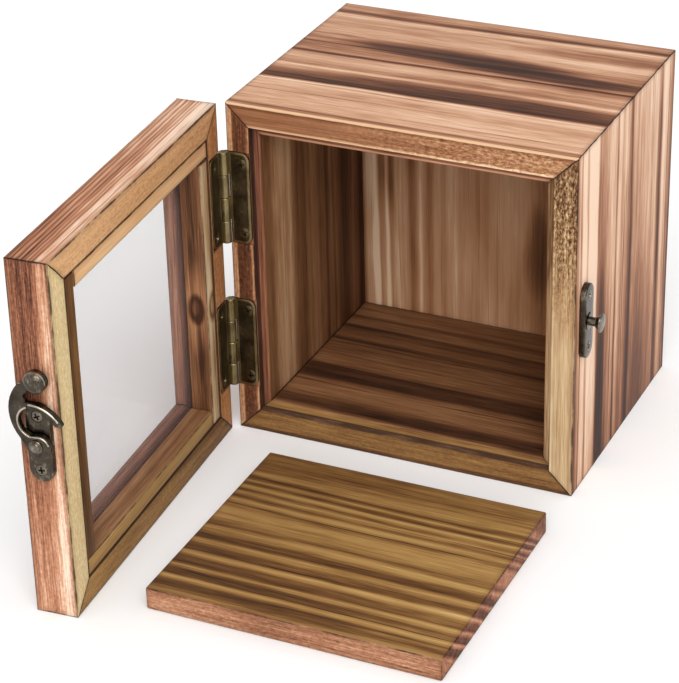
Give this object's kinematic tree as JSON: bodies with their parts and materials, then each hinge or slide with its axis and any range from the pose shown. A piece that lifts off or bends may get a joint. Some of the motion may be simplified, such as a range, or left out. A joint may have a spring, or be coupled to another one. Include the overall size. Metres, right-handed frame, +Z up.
{
  "type": "shadow box",
  "caption": "Small mitred wooden display case with a glazed door on butt hinges, a swing-hook latch and a loose base board, standing open.",
  "frame": {"origin": "centre of the case's bottom face", "axes": "+Z up, -Y out of the case's open front, +X towards the side with the strike plate; the door's pins are on the -X side"},
  "size_m": [0.1568, 0.245, 0.132],
  "materials": {
    "torched_wood": "torched softwood with dark and light grain bands, oiled satin",
    "dark_wood": "dark brown stained wood, satin",
    "pale_wood": "pale yellow wood with brown edges, satin",
    "olive_wood": "olive brown wood with fine streaks, satin",
    "hinge_metal": "antiqued brass, dark in the recesses",
    "latch_metal": "dark bronzed brass, polished on the high spots",
    "pane": "clear flat glass"
  },
  "bodies": {
    "case": {"case_back_panel": "dark_wood", "case_bottom": "torched_wood", "case_left_side": "torched_wood", "case_right_side": "torched_wood", "case_top": "torched_wood", "lower_hinge_case_leaf": "hinge_metal", "lower_hinge_case_leaf_lower_screw": "hinge_metal", "lower_hinge_case_leaf_upper_screw": "hinge_metal", "lower_hinge_pin": "hinge_metal", "strike_plate": "latch_metal", "strike_plate_lower_screw": "latch_metal", "strike_plate_upper_screw": "latch_metal", "strike_post": "latch_metal", "upper_hinge_case_leaf": "hinge_metal", "upper_hinge_case_leaf_lower_screw": "hinge_metal", "upper_hinge_case_leaf_upper_screw": "hinge_metal", "upper_hinge_pin": "hinge_metal"},
    "door": {"door_bottom_bead": "pale_wood", "door_bottom_rail": "torched_wood", "door_glass": "pane", "door_hinge_side_bead": "dark_wood", "door_hinge_stile": "torched_wood", "door_latch_side_bead": "dark_wood", "door_latch_stile": "torched_wood", "door_top_bead": "pale_wood", "door_top_rail": "torched_wood", "latch_plate": "latch_metal", "latch_plate_lower_screw": "latch_metal", "latch_plate_upper_screw": "latch_metal", "latch_rivet": "latch_metal", "lower_hinge_door_leaf": "hinge_metal", "lower_hinge_door_leaf_lower_screw": "hinge_metal", "lower_hinge_door_leaf_upper_screw": "hinge_metal", "upper_hinge_door_leaf": "hinge_metal", "upper_hinge_door_leaf_lower_screw": "hinge_metal", "upper_hinge_door_leaf_upper_screw": "hinge_metal"},
    "latch_hook": {"latch_hook": "latch_metal"},
    "base_board": {"base_board": "olive_wood"}
  },
  "joints": [
    {"name": "door_hinge", "type": "hinge", "parent": "case", "child": "door", "pos_m": [-0.067, -0.0531, 0.066], "axis": [0, 0, 1], "range_deg": [-15, 86.2]},
    {"name": "latch_hook_pivot", "type": "hinge", "parent": "door", "child": "latch_hook", "pos_m": [-0.06667, -0.18637, 0.0675], "axis": [0.0663, -0.9978, 0], "range_deg": [-90, 20]},
    {"name": "base_board_slide", "type": "slide", "parent": "case", "child": "base_board", "axis": [1, 0, 0], "range_m": [-0.027, 0.151]}
  ],
  "couplings": [
    {"joint": "base_board_slide", "follows": "door_hinge", "m_per_rad": 0.1}
  ]
}
